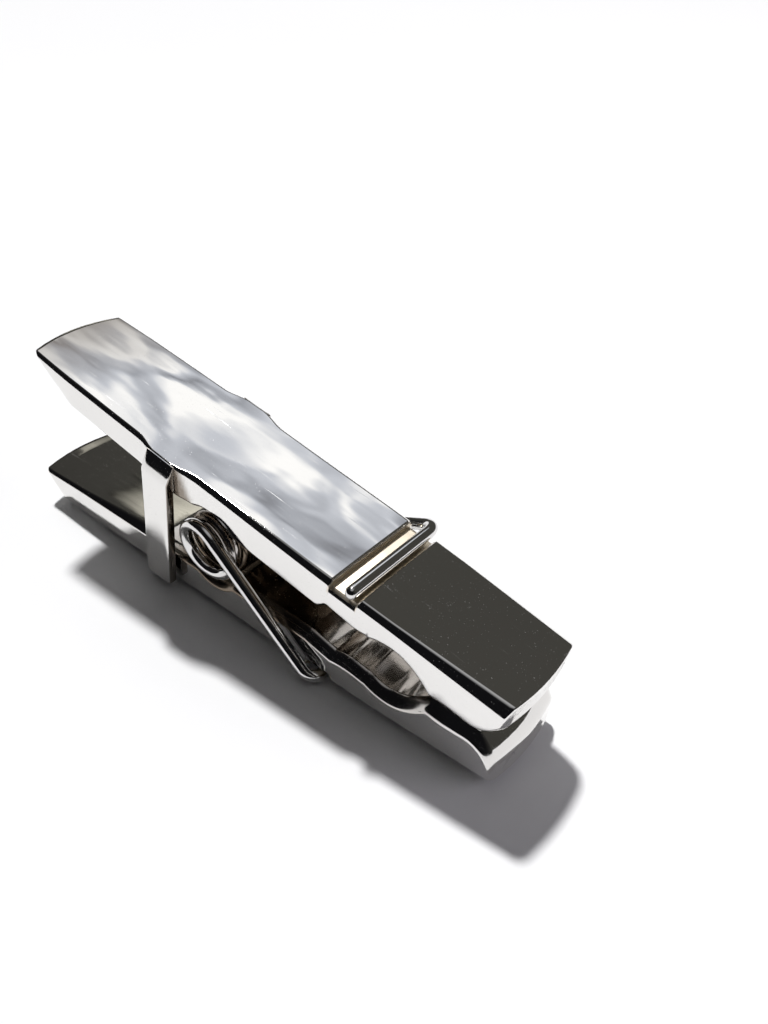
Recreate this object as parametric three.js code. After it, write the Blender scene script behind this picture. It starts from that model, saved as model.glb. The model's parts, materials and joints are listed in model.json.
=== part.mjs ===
// Spring clip in the shape of a clothespin, as a money clip: two polished metal levers that
// rock on the coil of one bent wire spring. Millimetres. +X runs from the handles to the jaws,
// +Y across the clip, +Z up. The lower lever's outer face is level, and Z = 0 is the surface
// that the clip stands on, on the spring's lower crossbar and the ends of the cheek plates.
import * as THREE from "three";

// Driving dimensions
const LEVER_LENGTH = 74.8; // along the upper lever's outer face
const LOWER_TAIL = -2.2; // the lower lever reaches further back by this much
const HINGE_FROM_TAIL = 34.2; // along a lever's outer face
const HINGE_TO_FACE = 9.3; // from the hinge axis to each outer face
const LEVER_ANGLE = THREE.MathUtils.degToRad(8.7); // between the two outer faces at rest
const HINGE_X = -2.5; // places the middle of the clip over the origin

// Levers. Depths are measured inwards from the outer face.
const TAIL_DEPTH = 3.8; // of the handle behind its slanted end
const HANDLE_DEPTH = 5.2; // of the handle beside the coil
const UPPER_SLANT = 6.5; // how far the upper handle's end leans forward below its top edge
const LOWER_SLANT = 3.8; // the same for the lower handle, below its inner edge
const LAND_DEPTH = 5.7; // between the coil and the money recess
const LAND_END = 51.2;
const STEP_DEPTH = 4.9;
const RECESS_START = 57.6;
const RECESS_END = 66;
const RECESS_DROP = 1.8;
const JAW_GAP = 0.3; // between the closed jaws
const JAW_LAND_END = 70.5;
const JAW_TIP = 3; // thickness left at the front edge
const JAW_CURVE = 0.3; // how early the jaw's inner face turns down to its tip
const EDGE_OUTER = 0.6; // bevel along the outer face
const EDGE_TAIL = 0.4; // bevel along the inner face at the tail
const EDGE_INNER = 1.2; // and from the coil forwards
const EDGE_SHARE = 0.3; // no bevel takes more of the thickness than this
const CROWN_REAR = 1.2; // how far the middle of an end stands out
const CROWN_FRONT = 0.6;
const CROWN_REACH = 8;
const ARC_STEPS = 8; // straight pieces in each hollow's arc

// Half the width of a lever at a few places along it
const WIDTH_PLACES = [0, 8, 16, 24, 28, 34, 50, LEVER_LENGTH];
const UPPER_WIDTHS = [6.6, 6.85, 6.95, 7.05, 7.05, 6.95, 6.9, 6.3];
const LOWER_WIDTHS = [7.1, 7.1, 7.1, 7.1, 7.1, 6.95, 6.9, 6.2];
const WIDEST = Math.max(...UPPER_WIDTHS, ...LOWER_WIDTHS);

// Spring
const WIRE = 0.75; // wire radius
const COIL_RADIUS = 3.6; // to the middle of the wire
const SEAT_CLEARANCE = 0.6;
const SEAT_RADIUS = COIL_RADIUS + WIRE + SEAT_CLEARANCE;
const SIDE_CLEARANCE = 0.3;
const LEG_Y = UPPER_WIDTHS[5] + SIDE_CLEARANCE + WIRE;
const TURNS = 9;
const BEND_RADIUS = 1.7;
const STEPS_PER_TURN = 16;
const BEND_STEPS = 6;
const WIRE_SIDES = 8;
const SPLIT_GAP = 0.3; // where the wire passes from one moving body to the other

// Notches that the crossbars lie in
const NOTCH_WIDTH = 3.6;
const NOTCH_DEPTH = 0.9;
const NOTCH_CHAMFER = 0.3;
const UPPER_NOTCH = 53.9; // along the lever, as its width places are
const LOWER_NOTCH = 51.3;
const CROSSBAR_LIFT = WIRE + SIDE_CLEARANCE - NOTCH_DEPTH; // wire's middle above the face
const CROSSBAR_END = 6.2; // the free end's distance from the middle

// Heights above the ground, which the lower crossbar rests on
const FACE_HEIGHT = CROSSBAR_LIFT + WIRE;
const HINGE_Z = FACE_HEIGHT + HINGE_TO_FACE;

// Cheek plates
const CHEEK_START = 24.3;
const CHEEK_WIDTH = 4.5;
const CHEEK_THICKNESS = 1.25;
const CHEEK_TOP = 0.5; // below the outer face
const CHEEK_SHOULDER = 0.8;
const CHEEK_FOOT = 0.02; // above the ground

const POLISHED = { roughness: 0.06, metalness: 1 };
const leverMetal = new THREE.MeshStandardMaterial({ color: 0xd9d8d5, ...POLISHED });
const springMetal = new THREE.MeshStandardMaterial({ color: 0xc9c8c6, ...POLISHED });
const cheekMetal = new THREE.MeshStandardMaterial({ color: 0xd6d5d2, ...POLISHED });

function between(value, places, values) {
  const last = places.length - 2;
  const found = places.findIndex((place, i) => i > 0 && value <= place) - 1;
  const i = found < 0 ? last : found;
  const part = (value - places[i]) / (places[i + 1] - places[i]);
  return THREE.MathUtils.lerp(values[i], values[i + 1], part);
}

// Depth of the plane half way between the levers, measured from an outer face.
function middleDepth(along) {
  return HINGE_TO_FACE - (along - HINGE_FROM_TAIL) * Math.tan(LEVER_ANGLE / 2);
}

// Points on the arc that joins two points and drops below their chord by a given amount.
function saggingArc(from, to, drop, steps) {
  const chord = to.clone().sub(from);
  const half = chord.length() / 2;
  const radius = (half * half + drop * drop) / (2 * drop);
  const down = new THREE.Vector2(chord.y, -chord.x).normalize();
  const centre = from.clone().add(to).multiplyScalar(0.5);
  centre.addScaledVector(down, drop - radius);
  const sweep = Math.asin(Math.min(1, half / radius));
  const across = chord.clone().normalize();
  const points = [];
  for (let i = 0; i <= steps; i++) {
    const angle = THREE.MathUtils.lerp(-sweep, sweep, i / steps);
    const point = centre.clone().addScaledVector(across, radius * Math.sin(angle));
    points.push(point.addScaledVector(down, radius * Math.cos(angle)));
  }
  return points;
}

// A lever's side view: x along the outer face, y from that face inwards. The two ends of the
// handle give its outer corner first and its inner corner second.
function leverProfile(notch, outerEnd, innerEnd) {
  const half = NOTCH_WIDTH / 2;
  const shape = new THREE.Shape();
  shape.moveTo(outerEnd, 0);
  WIDTH_PLACES.slice(1, -2).forEach((place) => shape.lineTo(place, 0));
  shape.lineTo(notch - half - NOTCH_CHAMFER, 0);
  shape.lineTo(notch - half, NOTCH_CHAMFER);
  shape.lineTo(notch - half, NOTCH_DEPTH);
  shape.lineTo(notch + half, NOTCH_DEPTH);
  shape.lineTo(notch + half, NOTCH_CHAMFER);
  shape.lineTo(notch + half + NOTCH_CHAMFER, 0);
  shape.lineTo(LEVER_LENGTH - CROWN_REACH, 0);
  shape.lineTo(LEVER_LENGTH, 0);
  shape.lineTo(LEVER_LENGTH, JAW_TIP);
  const jawDepth = middleDepth(JAW_LAND_END) - JAW_GAP / 2;
  const leadX = THREE.MathUtils.lerp(LEVER_LENGTH, JAW_LAND_END, JAW_CURVE);
  shape.quadraticCurveTo(leadX, jawDepth, JAW_LAND_END, jawDepth);
  const recessFront = new THREE.Vector2(RECESS_END, middleDepth(RECESS_END) - JAW_GAP / 2);
  const recessRear = new THREE.Vector2(RECESS_START, STEP_DEPTH);
  const arc = saggingArc(recessFront, recessRear, -RECESS_DROP, ARC_STEPS);
  arc.forEach((p) => shape.lineTo(p.x, p.y));
  shape.lineTo(LAND_END + 1, STEP_DEPTH);
  shape.lineTo(LAND_END, LAND_DEPTH);
  addCoilSeat(shape);
  WIDTH_PLACES.slice(1, 4)
    .reverse()
    .forEach((place) => shape.lineTo(place, handleDepth(place)));
  shape.lineTo(innerEnd, handleDepth(innerEnd));
  shape.closePath();
  return shape;
}

function handleDepth(along) {
  const share = THREE.MathUtils.clamp(along / WIDTH_PLACES[3], 0, 1);
  return THREE.MathUtils.lerp(TAIL_DEPTH, HANDLE_DEPTH, share);
}

// The hollow round the coil, from the land's side back to the handle's side.
function addCoilSeat(shape) {
  const front = Math.acos((HINGE_TO_FACE - LAND_DEPTH) / SEAT_RADIUS);
  const rear = Math.acos((HINGE_TO_FACE - HANDLE_DEPTH) / SEAT_RADIUS);
  for (let i = 0; i <= ARC_STEPS; i++) {
    const angle = THREE.MathUtils.lerp(front, -rear, i / ARC_STEPS);
    const along = HINGE_FROM_TAIL + SEAT_RADIUS * Math.sin(angle);
    shape.lineTo(along, HINGE_TO_FACE - SEAT_RADIUS * Math.cos(angle));
  }
}

// Bends the flat-sided extrusion into the lever: it narrows towards its ends, its long edges
// are bevelled and its ends are crowned. Rows of points across the width go to these places.
const ROW_PLACES = [0, 0.25, 0.5, 0.75, 1];
const ROW_WIDTHS = [0, 0.45, 0.8, 0.91, 1];
const OUTER_BEVEL = [0, ROW_WIDTHS[3], 1]; // where across the width a bevel starts and ends
const INNER_BEVEL = [0, ROW_WIDTHS[2], 1];

function shapeLever(geometry, halfWidths, tail) {
  const position = geometry.getAttribute("position");
  for (let i = 0; i < position.count; i++) {
    const along = position.getX(i);
    const depth = position.getY(i);
    const row = position.getZ(i) - 1;
    const across = between(Math.abs(row), ROW_PLACES, ROW_WIDTHS);
    const thickness = handleDepth(along);
    const share = THREE.MathUtils.clamp(depth / thickness, 0, 1);
    const most = thickness * EDGE_SHARE;
    const edge = THREE.MathUtils.clamp(along / WIDTH_PLACES[3], 0, 1);
    const innerEdge = Math.min(THREE.MathUtils.lerp(EDGE_TAIL, EDGE_INNER, edge), most);
    const outer = Math.min(EDGE_OUTER, most) * between(across, OUTER_BEVEL, [0, 0, 1]);
    const inner = innerEdge * between(across, INNER_BEVEL, [0, 0, 1]);
    const crown = across * across;
    const front = CROWN_FRONT * Math.max(0, (along - LEVER_LENGTH) / CROWN_REACH + 1);
    const rear = CROWN_REAR * Math.max(0, 1 - (along - tail) / CROWN_REACH);
    const halfWidth = between(Math.max(along, 0), WIDTH_PLACES, halfWidths);
    const side = Math.sign(row) * across * halfWidth;
    const bevelled = depth + outer * (1 - share) - inner * share;
    position.setXYZ(i, along + (rear - front) * crown, -side, bevelled);
  }
  return geometry;
}

function leverGeometry(profile, halfWidths, tail) {
  const across = { depth: 2, steps: 8, bevelEnabled: false, curveSegments: 5 };
  return shapeLever(new THREE.ExtrudeGeometry(profile, across), halfWidths, tail);
}

// A wire's path, kept to the points it is given.
class WirePath extends THREE.Curve {
  constructor(points) {
    super();
    this.points = points;
  }
  getPoint(t, target = new THREE.Vector3()) {
    const place = THREE.MathUtils.clamp(t, 0, 1) * (this.points.length - 1);
    const i = Math.min(Math.floor(place), this.points.length - 2);
    return target.lerpVectors(this.points[i], this.points[i + 1], place - i);
  }
  getPointAt(u, target) {
    return this.getPoint(u, target);
  }
  getTangentAt(u, target) {
    return this.getTangent(u, target);
  }
}

function wireGeometry(points) {
  const ring = new THREE.Shape();
  for (let i = 0; i < WIRE_SIDES; i++) {
    const angle = (2 * Math.PI * (i + 0.5)) / WIRE_SIDES;
    const place = [WIRE * Math.cos(angle), WIRE * Math.sin(angle)];
    if (i) ring.lineTo(...place);
    else ring.moveTo(...place);
  }
  ring.closePath();
  const path = new WirePath(points);
  const along = { extrudePath: path, steps: points.length - 1, bevelEnabled: false };
  return new THREE.ExtrudeGeometry(ring, along);
}

// Where a leg leaves the coil for a point beyond it; side is +1 over the coil, -1 under it.
function tangentAngle(target, side) {
  const distance = Math.hypot(target.x, target.z);
  const bearing = Math.atan2(target.z, target.x);
  return bearing + side * Math.acos(COIL_RADIUS / distance);
}

// From the coil along a leg, round its bend and across the lever to the crossbar's free end.
function legPoints(target, angle, startY, side) {
  const start = new THREE.Vector3(Math.cos(angle), 0, Math.sin(angle));
  start.multiplyScalar(COIL_RADIUS).setY(startY);
  const end = new THREE.Vector3(target.x, startY, target.z);
  const run = end.clone().sub(start).normalize();
  const across = new THREE.Vector3(0, side, 0);
  const bendStart = end.clone().addScaledVector(run, -BEND_RADIUS);
  const points = [start];
  for (let i = 0; i <= BEND_STEPS; i++) {
    const turn = (Math.PI / 2) * (i / BEND_STEPS);
    const point = bendStart.clone().addScaledVector(run, BEND_RADIUS * Math.sin(turn));
    points.push(point.addScaledVector(across, BEND_RADIUS * (1 - Math.cos(turn))));
  }
  points.push(end.clone().setY(side * CROSSBAR_END));
  return points;
}

// Crossbar middles, from the hinge axis, in the frame of the whole clip.
const lowerBar = new THREE.Vector3(
  LOWER_NOTCH - HINGE_FROM_TAIL,
  0,
  -HINGE_TO_FACE - CROSSBAR_LIFT,
);
const upperBar = new THREE.Vector3(
  UPPER_NOTCH - HINGE_FROM_TAIL,
  0,
  HINGE_TO_FACE + CROSSBAR_LIFT,
).applyAxisAngle(new THREE.Vector3(0, 1, 0), LEVER_ANGLE);
const lowerTangent = tangentAngle(lowerBar, 1);
const upperTangent = tangentAngle(upperBar, -1);

// The coil winds from the near leg to the far leg, against the way the jaws close.
function coilPoints() {
  const sweep = TURNS * 2 * Math.PI + upperTangent - lowerTangent;
  const length = COIL_RADIUS * sweep;
  const shortSweep = sweep * (1 - SPLIT_GAP / length);
  const steps = Math.round((TURNS * STEPS_PER_TURN * shortSweep) / sweep);
  const points = [];
  for (let i = 0; i <= steps; i++) {
    const turned = (shortSweep * i) / steps;
    const angle = lowerTangent + turned;
    const y = THREE.MathUtils.lerp(-LEG_Y, LEG_Y, turned / sweep);
    points.push(new THREE.Vector3(COIL_RADIUS * Math.cos(angle), y, COIL_RADIUS * Math.sin(angle)));
  }
  return points;
}

function lowerSpring() {
  const leg = legPoints(lowerBar, lowerTangent, -LEG_Y, 1).reverse();
  return wireGeometry([...leg, ...coilPoints().slice(1)]);
}

function upperSpring() {
  return wireGeometry(legPoints(upperBar, upperTangent, LEG_Y, -1));
}

// A cheek's side view, in the upper lever's frame: x along the lever, y down from its face.
function cheekGeometry() {
  const slope = Math.tan(LEVER_ANGLE);
  const rise = (HINGE_Z - CHEEK_FOOT) / Math.cos(LEVER_ANGLE) + HINGE_TO_FACE;
  const footDepth = (along) => rise - (along - HINGE_FROM_TAIL) * slope;
  const end = CHEEK_START + CHEEK_WIDTH;
  const shape = new THREE.Shape();
  shape.moveTo(CHEEK_START + CHEEK_SHOULDER, CHEEK_TOP);
  shape.lineTo(end - CHEEK_SHOULDER, CHEEK_TOP);
  shape.quadraticCurveTo(end, CHEEK_TOP, end, CHEEK_TOP + CHEEK_SHOULDER);
  shape.lineTo(end, footDepth(end));
  shape.lineTo(CHEEK_START, footDepth(CHEEK_START));
  shape.lineTo(CHEEK_START, CHEEK_TOP + CHEEK_SHOULDER);
  shape.quadraticCurveTo(CHEEK_START, CHEEK_TOP, CHEEK_START + CHEEK_SHOULDER, CHEEK_TOP);
  const across = { depth: CHEEK_THICKNESS, bevelEnabled: false, curveSegments: 4 };
  return new THREE.ExtrudeGeometry(shape, across).rotateX(Math.PI / 2);
}

function addMesh(parent, name, geometry, material) {
  const mesh = new THREE.Mesh(geometry, material);
  mesh.name = name;
  parent.add(mesh);
  return mesh;
}

const clip = new THREE.Group();

const lowerFrame = new THREE.Group();
lowerFrame.position.set(HINGE_X - HINGE_FROM_TAIL, 0, FACE_HEIGHT);
clip.add(lowerFrame);
const lowerProfile = leverProfile(LOWER_NOTCH, LOWER_TAIL + LOWER_SLANT, LOWER_TAIL);
const lowerShape = leverGeometry(lowerProfile, LOWER_WIDTHS, LOWER_TAIL);
addMesh(lowerFrame, "lower_lever", lowerShape, leverMetal);

// The upper lever is turned over, and leans on the hinge axis.
const hinge = new THREE.Group();
hinge.position.set(HINGE_X, 0, HINGE_Z);
clip.add(hinge);
const upperFrame = new THREE.Group();
upperFrame.rotation.set(0, LEVER_ANGLE, 0);
hinge.add(upperFrame);
const upperProfile = leverProfile(UPPER_NOTCH, 0, UPPER_SLANT);
const upperShape = leverGeometry(upperProfile, UPPER_WIDTHS, 0);
const upperLever = addMesh(upperFrame, "upper_lever", upperShape, leverMetal);
upperLever.rotation.set(Math.PI, 0, 0);
upperLever.position.set(-HINGE_FROM_TAIL, 0, HINGE_TO_FACE);

[
  ["cheek_near", -WIDEST - SIDE_CLEARANCE - CHEEK_THICKNESS],
  ["cheek_far", WIDEST + SIDE_CLEARANCE],
].forEach(([name, y]) => {
  const cheek = addMesh(upperFrame, name, cheekGeometry(), cheekMetal);
  cheek.rotation.set(Math.PI, 0, 0);
  cheek.position.set(-HINGE_FROM_TAIL, y, HINGE_TO_FACE);
});

addMesh(hinge, "spring_coil_leg", lowerSpring(), springMetal);
addMesh(hinge, "spring_upper_leg", upperSpring(), springMetal);

export default clip;
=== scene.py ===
# %% [markdown]
# # A spring clip in the shape of a clothespin
# Two polished metal levers rock on the coil of one bent wire, and a flat strap on each side
# keeps them in line. Every piece here is a surface worked out with numpy: a section carried
# along the piece, as a caster's pattern maker would describe it. Blender then adds the polish.

# %% The frame
import json
import math

import bpy
import numpy as np
from mathutils import Matrix, Vector
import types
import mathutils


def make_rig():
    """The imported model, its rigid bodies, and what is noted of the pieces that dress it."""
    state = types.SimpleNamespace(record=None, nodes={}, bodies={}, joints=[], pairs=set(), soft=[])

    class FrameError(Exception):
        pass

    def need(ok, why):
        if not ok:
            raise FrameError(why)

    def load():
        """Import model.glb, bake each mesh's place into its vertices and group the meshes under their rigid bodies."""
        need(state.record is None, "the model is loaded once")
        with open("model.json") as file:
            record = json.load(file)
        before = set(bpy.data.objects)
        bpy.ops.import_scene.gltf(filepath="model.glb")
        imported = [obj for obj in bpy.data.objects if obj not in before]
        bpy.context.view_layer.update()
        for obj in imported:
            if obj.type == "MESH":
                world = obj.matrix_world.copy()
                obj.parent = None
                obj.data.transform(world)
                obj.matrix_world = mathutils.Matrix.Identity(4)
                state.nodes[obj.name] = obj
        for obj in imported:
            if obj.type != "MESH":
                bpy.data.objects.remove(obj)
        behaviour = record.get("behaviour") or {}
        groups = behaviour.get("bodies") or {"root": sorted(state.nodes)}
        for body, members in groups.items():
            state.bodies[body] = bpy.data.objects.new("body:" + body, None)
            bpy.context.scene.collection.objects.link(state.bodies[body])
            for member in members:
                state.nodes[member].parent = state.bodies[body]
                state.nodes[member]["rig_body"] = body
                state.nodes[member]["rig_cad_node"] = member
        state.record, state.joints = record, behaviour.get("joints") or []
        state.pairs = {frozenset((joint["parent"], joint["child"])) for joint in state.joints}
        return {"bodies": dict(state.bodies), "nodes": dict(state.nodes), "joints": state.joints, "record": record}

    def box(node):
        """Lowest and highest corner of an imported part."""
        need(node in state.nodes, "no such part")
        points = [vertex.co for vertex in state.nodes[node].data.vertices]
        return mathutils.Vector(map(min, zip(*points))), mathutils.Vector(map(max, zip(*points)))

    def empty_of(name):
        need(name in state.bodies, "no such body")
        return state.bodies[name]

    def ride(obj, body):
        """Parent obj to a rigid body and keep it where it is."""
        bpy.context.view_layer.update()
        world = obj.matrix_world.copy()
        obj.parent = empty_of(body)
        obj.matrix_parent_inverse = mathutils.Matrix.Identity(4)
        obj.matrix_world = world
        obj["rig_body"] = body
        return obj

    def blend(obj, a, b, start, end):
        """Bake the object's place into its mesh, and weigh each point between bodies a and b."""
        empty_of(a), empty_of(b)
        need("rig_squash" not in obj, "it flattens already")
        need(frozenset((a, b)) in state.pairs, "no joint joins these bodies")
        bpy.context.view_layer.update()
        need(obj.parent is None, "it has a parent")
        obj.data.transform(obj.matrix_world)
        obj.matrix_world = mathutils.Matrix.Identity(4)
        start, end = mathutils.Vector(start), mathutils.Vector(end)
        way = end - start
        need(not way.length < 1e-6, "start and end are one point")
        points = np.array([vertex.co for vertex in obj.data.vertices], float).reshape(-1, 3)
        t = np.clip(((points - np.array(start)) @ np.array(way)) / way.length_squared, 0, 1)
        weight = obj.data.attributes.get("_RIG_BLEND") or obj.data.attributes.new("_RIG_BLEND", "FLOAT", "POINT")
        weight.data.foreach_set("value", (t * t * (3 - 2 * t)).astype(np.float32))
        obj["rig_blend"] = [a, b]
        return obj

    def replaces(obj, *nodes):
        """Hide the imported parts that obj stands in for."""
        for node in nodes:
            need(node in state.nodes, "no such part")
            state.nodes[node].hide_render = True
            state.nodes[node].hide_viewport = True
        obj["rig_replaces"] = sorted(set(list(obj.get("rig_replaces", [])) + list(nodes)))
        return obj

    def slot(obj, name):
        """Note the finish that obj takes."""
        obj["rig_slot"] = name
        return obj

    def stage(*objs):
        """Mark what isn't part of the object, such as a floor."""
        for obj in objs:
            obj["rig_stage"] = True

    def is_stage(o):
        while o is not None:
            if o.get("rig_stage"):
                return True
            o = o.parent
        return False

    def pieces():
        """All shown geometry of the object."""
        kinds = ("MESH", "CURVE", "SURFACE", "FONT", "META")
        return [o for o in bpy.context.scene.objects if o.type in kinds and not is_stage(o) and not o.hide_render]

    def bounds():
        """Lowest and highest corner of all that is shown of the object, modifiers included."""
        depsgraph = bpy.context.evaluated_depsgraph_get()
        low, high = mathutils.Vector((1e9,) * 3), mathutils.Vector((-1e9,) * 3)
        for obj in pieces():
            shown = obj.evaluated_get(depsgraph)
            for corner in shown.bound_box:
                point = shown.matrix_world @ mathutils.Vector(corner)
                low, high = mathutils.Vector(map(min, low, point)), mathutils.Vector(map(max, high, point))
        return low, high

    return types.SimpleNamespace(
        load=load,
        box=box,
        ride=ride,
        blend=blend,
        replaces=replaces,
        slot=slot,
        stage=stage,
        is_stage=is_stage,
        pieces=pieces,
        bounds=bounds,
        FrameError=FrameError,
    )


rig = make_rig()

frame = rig.load()
cad_box = [list(corner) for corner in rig.bounds()]
MM = 0.001
joint = frame["joints"][0]
hinge = np.array(joint["pos_m"]) / MM
mounts = {mount["name"]: mount for mount in frame["record"]["mounts"]}
face_axis = mounts["upper_outer_face"]["axis"]
lean = math.atan2(face_axis[0], face_axis[2])
lower_low = np.array(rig.box("lower_lever")[0]) / MM
print("hinge", hinge, "lean", round(math.degrees(lean), 2), "degrees")

# %% [markdown]
# The two levers are described in one flat frame: `along` runs from the tail to the jaws on
# the outer face, `across` over the width, and `depth` inwards from that face. Writing both in
# the same frame means one set of formulas makes both, and only the last step leans the upper
# one over. The hinge, the lean and the face height are read from the record and the boxes.

# %% Where the two lever frames lie
HINGE_ALONG = 34.2  # from the upper tail to the hinge
face_to_hinge = hinge[2] - lower_low[2]
LOWER_TAIL = lower_low[0] - hinge[0] + HINGE_ALONG
FRONT = 74.8  # the tips of both jaws


def on_lower(along, across, depth):
    """Lower lever frame to the clip's frame, in metres: depth counts up from the face."""
    up = depth - face_to_hinge
    return np.stack([along - HINGE_ALONG + hinge[0], across, up + hinge[2]], -1) * MM


def on_upper(along, across, depth):
    """Upper lever frame to the clip's frame: turned about the hinge by the lean."""
    x, z = along - HINGE_ALONG, face_to_hinge - depth
    turned_x = x * math.cos(lean) + z * math.sin(lean)
    turned_z = z * math.cos(lean) - x * math.sin(lean)
    return np.stack([turned_x + hinge[0], across, turned_z + hinge[2]], -1) * MM


print("face to hinge", round(face_to_hinge, 2), "lower tail at", round(LOWER_TAIL, 2))

# %% Helpers that put a grid of points into a mesh


def new_piece(name, points, faces, masks, sharp=40):
    """A mesh object from points (n, 3) in metres and lists of faces, smooth but for edges
    that turn more than `sharp` degrees. `masks` holds a value per point for each name."""
    mesh = bpy.data.meshes.new(name)
    mesh.from_pydata(points.tolist(), [], [face.tolist() for face in faces])
    mesh.polygons.foreach_set("use_smooth", np.ones(len(mesh.polygons), bool))
    mesh.set_sharp_from_angle(angle=math.radians(sharp))
    for label, values in masks.items():
        layer = mesh.attributes.new(label, "FLOAT", "POINT")
        layer.data.foreach_set("value", np.concatenate([values.ravel(), [0, 0]]))
    piece = bpy.data.objects.new(name, mesh)
    bpy.context.scene.collection.objects.link(piece)
    print(name, len(mesh.polygons), "faces")
    return piece


def tube_faces(stations, around, outward=True):
    """Quads between neighbouring rings, and a fan of triangles to a point at each end."""
    i, j = np.meshgrid(np.arange(stations - 1), np.arange(around), indexing="ij")
    k = (j + 1) % around
    quads = np.stack([i, i, i + 1, i + 1], -1) * around + np.stack([j, k, k, j], -1)
    ring = np.arange(around)
    first = np.full(around, stations * around)
    last_ring = (stations - 1) * around
    start = np.stack([first, np.roll(ring, -1), ring], -1)
    end = np.stack([first + 1, last_ring + ring, last_ring + np.roll(ring, -1)], -1)
    faces = [*quads.reshape(-1, 4), *start, *end]
    return faces if outward else [face[::-1] for face in faces]


def closed_grid(grid):
    """A grid of rings (stations, around, 3) as points, with a middle point for each end."""
    return np.concatenate([grid.reshape(-1, 3), grid[:1].mean(1), grid[-1:].mean(1)])


# %% [markdown]
# ## The levers
# A real lever like this is cast or milled, then ground and polished until its corners are
# slightly soft. It could be a box with a Bevel modifier, but every face of it tapers, hollows
# or swells, so it is a loft: a rounded section carried along the lever, where the width, the
# depth and the corners are functions of the distance along it.

# %% How a lever's width, depth and corners change along it
TAIL_DEPTH, HANDLE_SWELL, HANDLE_LENGTH = 3.8, 1.4, 24  # the handle thickens forwards
COIL_SEAT, LAND_DEPTH = 4.95, 5.7
HUMP_FROM, HUMP_LONG, HUMP_DEPTH, HUMP_RISE = 51.8, 6.6, 4.45, 0.5
STEP_FROM, STEP_TO = 50.6, 52.2  # the slope from the land to the hump
RECESS_FROM, RECESS_TO, RECESS_DROP, RECESS_DEPTH = 57.6, 66.0, 1.8, 4.85
JAW_FLAT_END, JAW_TIP, JAW_GAP, NOSE_POWER = 70.5, 3.0, 0.3, 2.4
WIDTH_AT = [0, 8, 16, 22.6, 24.4, 26.5, 28.8, 31.2, 36, 50, FRONT]
UPPER_WIDTH = [6.6, 6.85, 6.95, 7.0, 7.5, 7.5, 7.5, 7.0, 6.95, 6.9, 6.3]
LOWER_WIDTH = [7.1, 7.1, 7.08, 7.08, 7.06, 7.04, 7.0, 6.98, 6.95, 6.9, 6.2]


def ease(value, low, high):
    """0 before low, 1 after high, and a smooth cubic between them."""
    part = np.clip((value - low) / (high - low), 0, 1)
    return part * part * (3 - 2 * part)


def smooth_width(along, widths):
    """The widths joined by straight lines, then averaged over 2 mm so that nothing kinks."""
    shifts = np.linspace(-1, 1, 9)[:, None]
    return np.interp(np.maximum(along + shifts, 0), WIDTH_AT, widths).mean(0)


def middle_depth(along):
    """Depth of the plane half way between the two levers."""
    return face_to_hinge - (along - HINGE_ALONG) * math.tan(lean / 2)


def inner_depth(along):
    """Depth of the inner face: handle, seat round the coil, land, a low hump, the parabola
    of the money recess, the flat of the jaw and the nose that curves back from it."""
    handle = TAIL_DEPTH + HANDLE_SWELL * np.clip(along / HANDLE_LENGTH, 0, 1)
    depth = np.where(along < HINGE_ALONG, handle, LAND_DEPTH)
    inside = np.clip(COIL_SEAT**2 - (along - HINGE_ALONG) ** 2, 0, None)
    seat = face_to_hinge - np.sqrt(inside)
    depth = np.minimum(depth, np.where(inside > 0, seat, depth))
    over_hump = np.clip((along - HUMP_FROM) / HUMP_LONG, 0, 1)
    hump = HUMP_DEPTH + HUMP_RISE * np.sin(np.pi * over_hump)
    depth = depth + (hump - depth) * ease(along, STEP_FROM, STEP_TO)
    jaw = middle_depth(along) - JAW_GAP / 2
    part = (along - RECESS_FROM) / (RECESS_TO - RECESS_FROM)
    jaw_start = middle_depth(RECESS_TO) - JAW_GAP / 2
    low_side = RECESS_DEPTH + (jaw_start - RECESS_DEPTH) * part
    recess = low_side - RECESS_DROP * (1 - (2 * part - 1) ** 2)
    depth = np.where(along > RECESS_FROM, recess, depth)
    depth = np.where(along > RECESS_TO, jaw, depth)
    nose = np.clip((along - JAW_FLAT_END) / (FRONT - JAW_FLAT_END), 0, 1)
    flat = middle_depth(JAW_FLAT_END) - JAW_GAP / 2
    return np.where(nose > 0, JAW_TIP + (flat - JAW_TIP) * (1 - nose**NOSE_POWER), depth)


print("inner depths", np.round(inner_depth(np.array([0.0, 20, 34, 45, 55, 62, 68, 74])), 2))

# %% [markdown]
# The section is a rectangle with soft corners. A polished bevel is nearly flat with a soft
# shoulder each side, so each corner is a quarter of a superellipse, between a straight
# bevel and a round one. Close pairs of points beside each corner hold the flats flat.

# %% The section of a lever
CORNER_STEPS = 11
CORNER_POWER = 1.5
corner_turn = np.linspace(0, np.pi / 2, CORNER_STEPS)
corner_in = np.cos(corner_turn) ** CORNER_POWER
corner_out = np.sin(corner_turn) ** CORNER_POWER
FLAT = np.array([-1, -0.985, -0.75, -0.5, -0.25, 0, 0.25, 0.5, 0.75, 0.985, 1])
SIDE = np.array([0.03, 0.35, 0.65, 0.97])
FACE_CROWN, SIDE_CROWN = 0.07, 0.05
OUTER_REACH, INNER_REACH = 1.05, 1.1  # a corner's width for each mm of its depth


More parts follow.
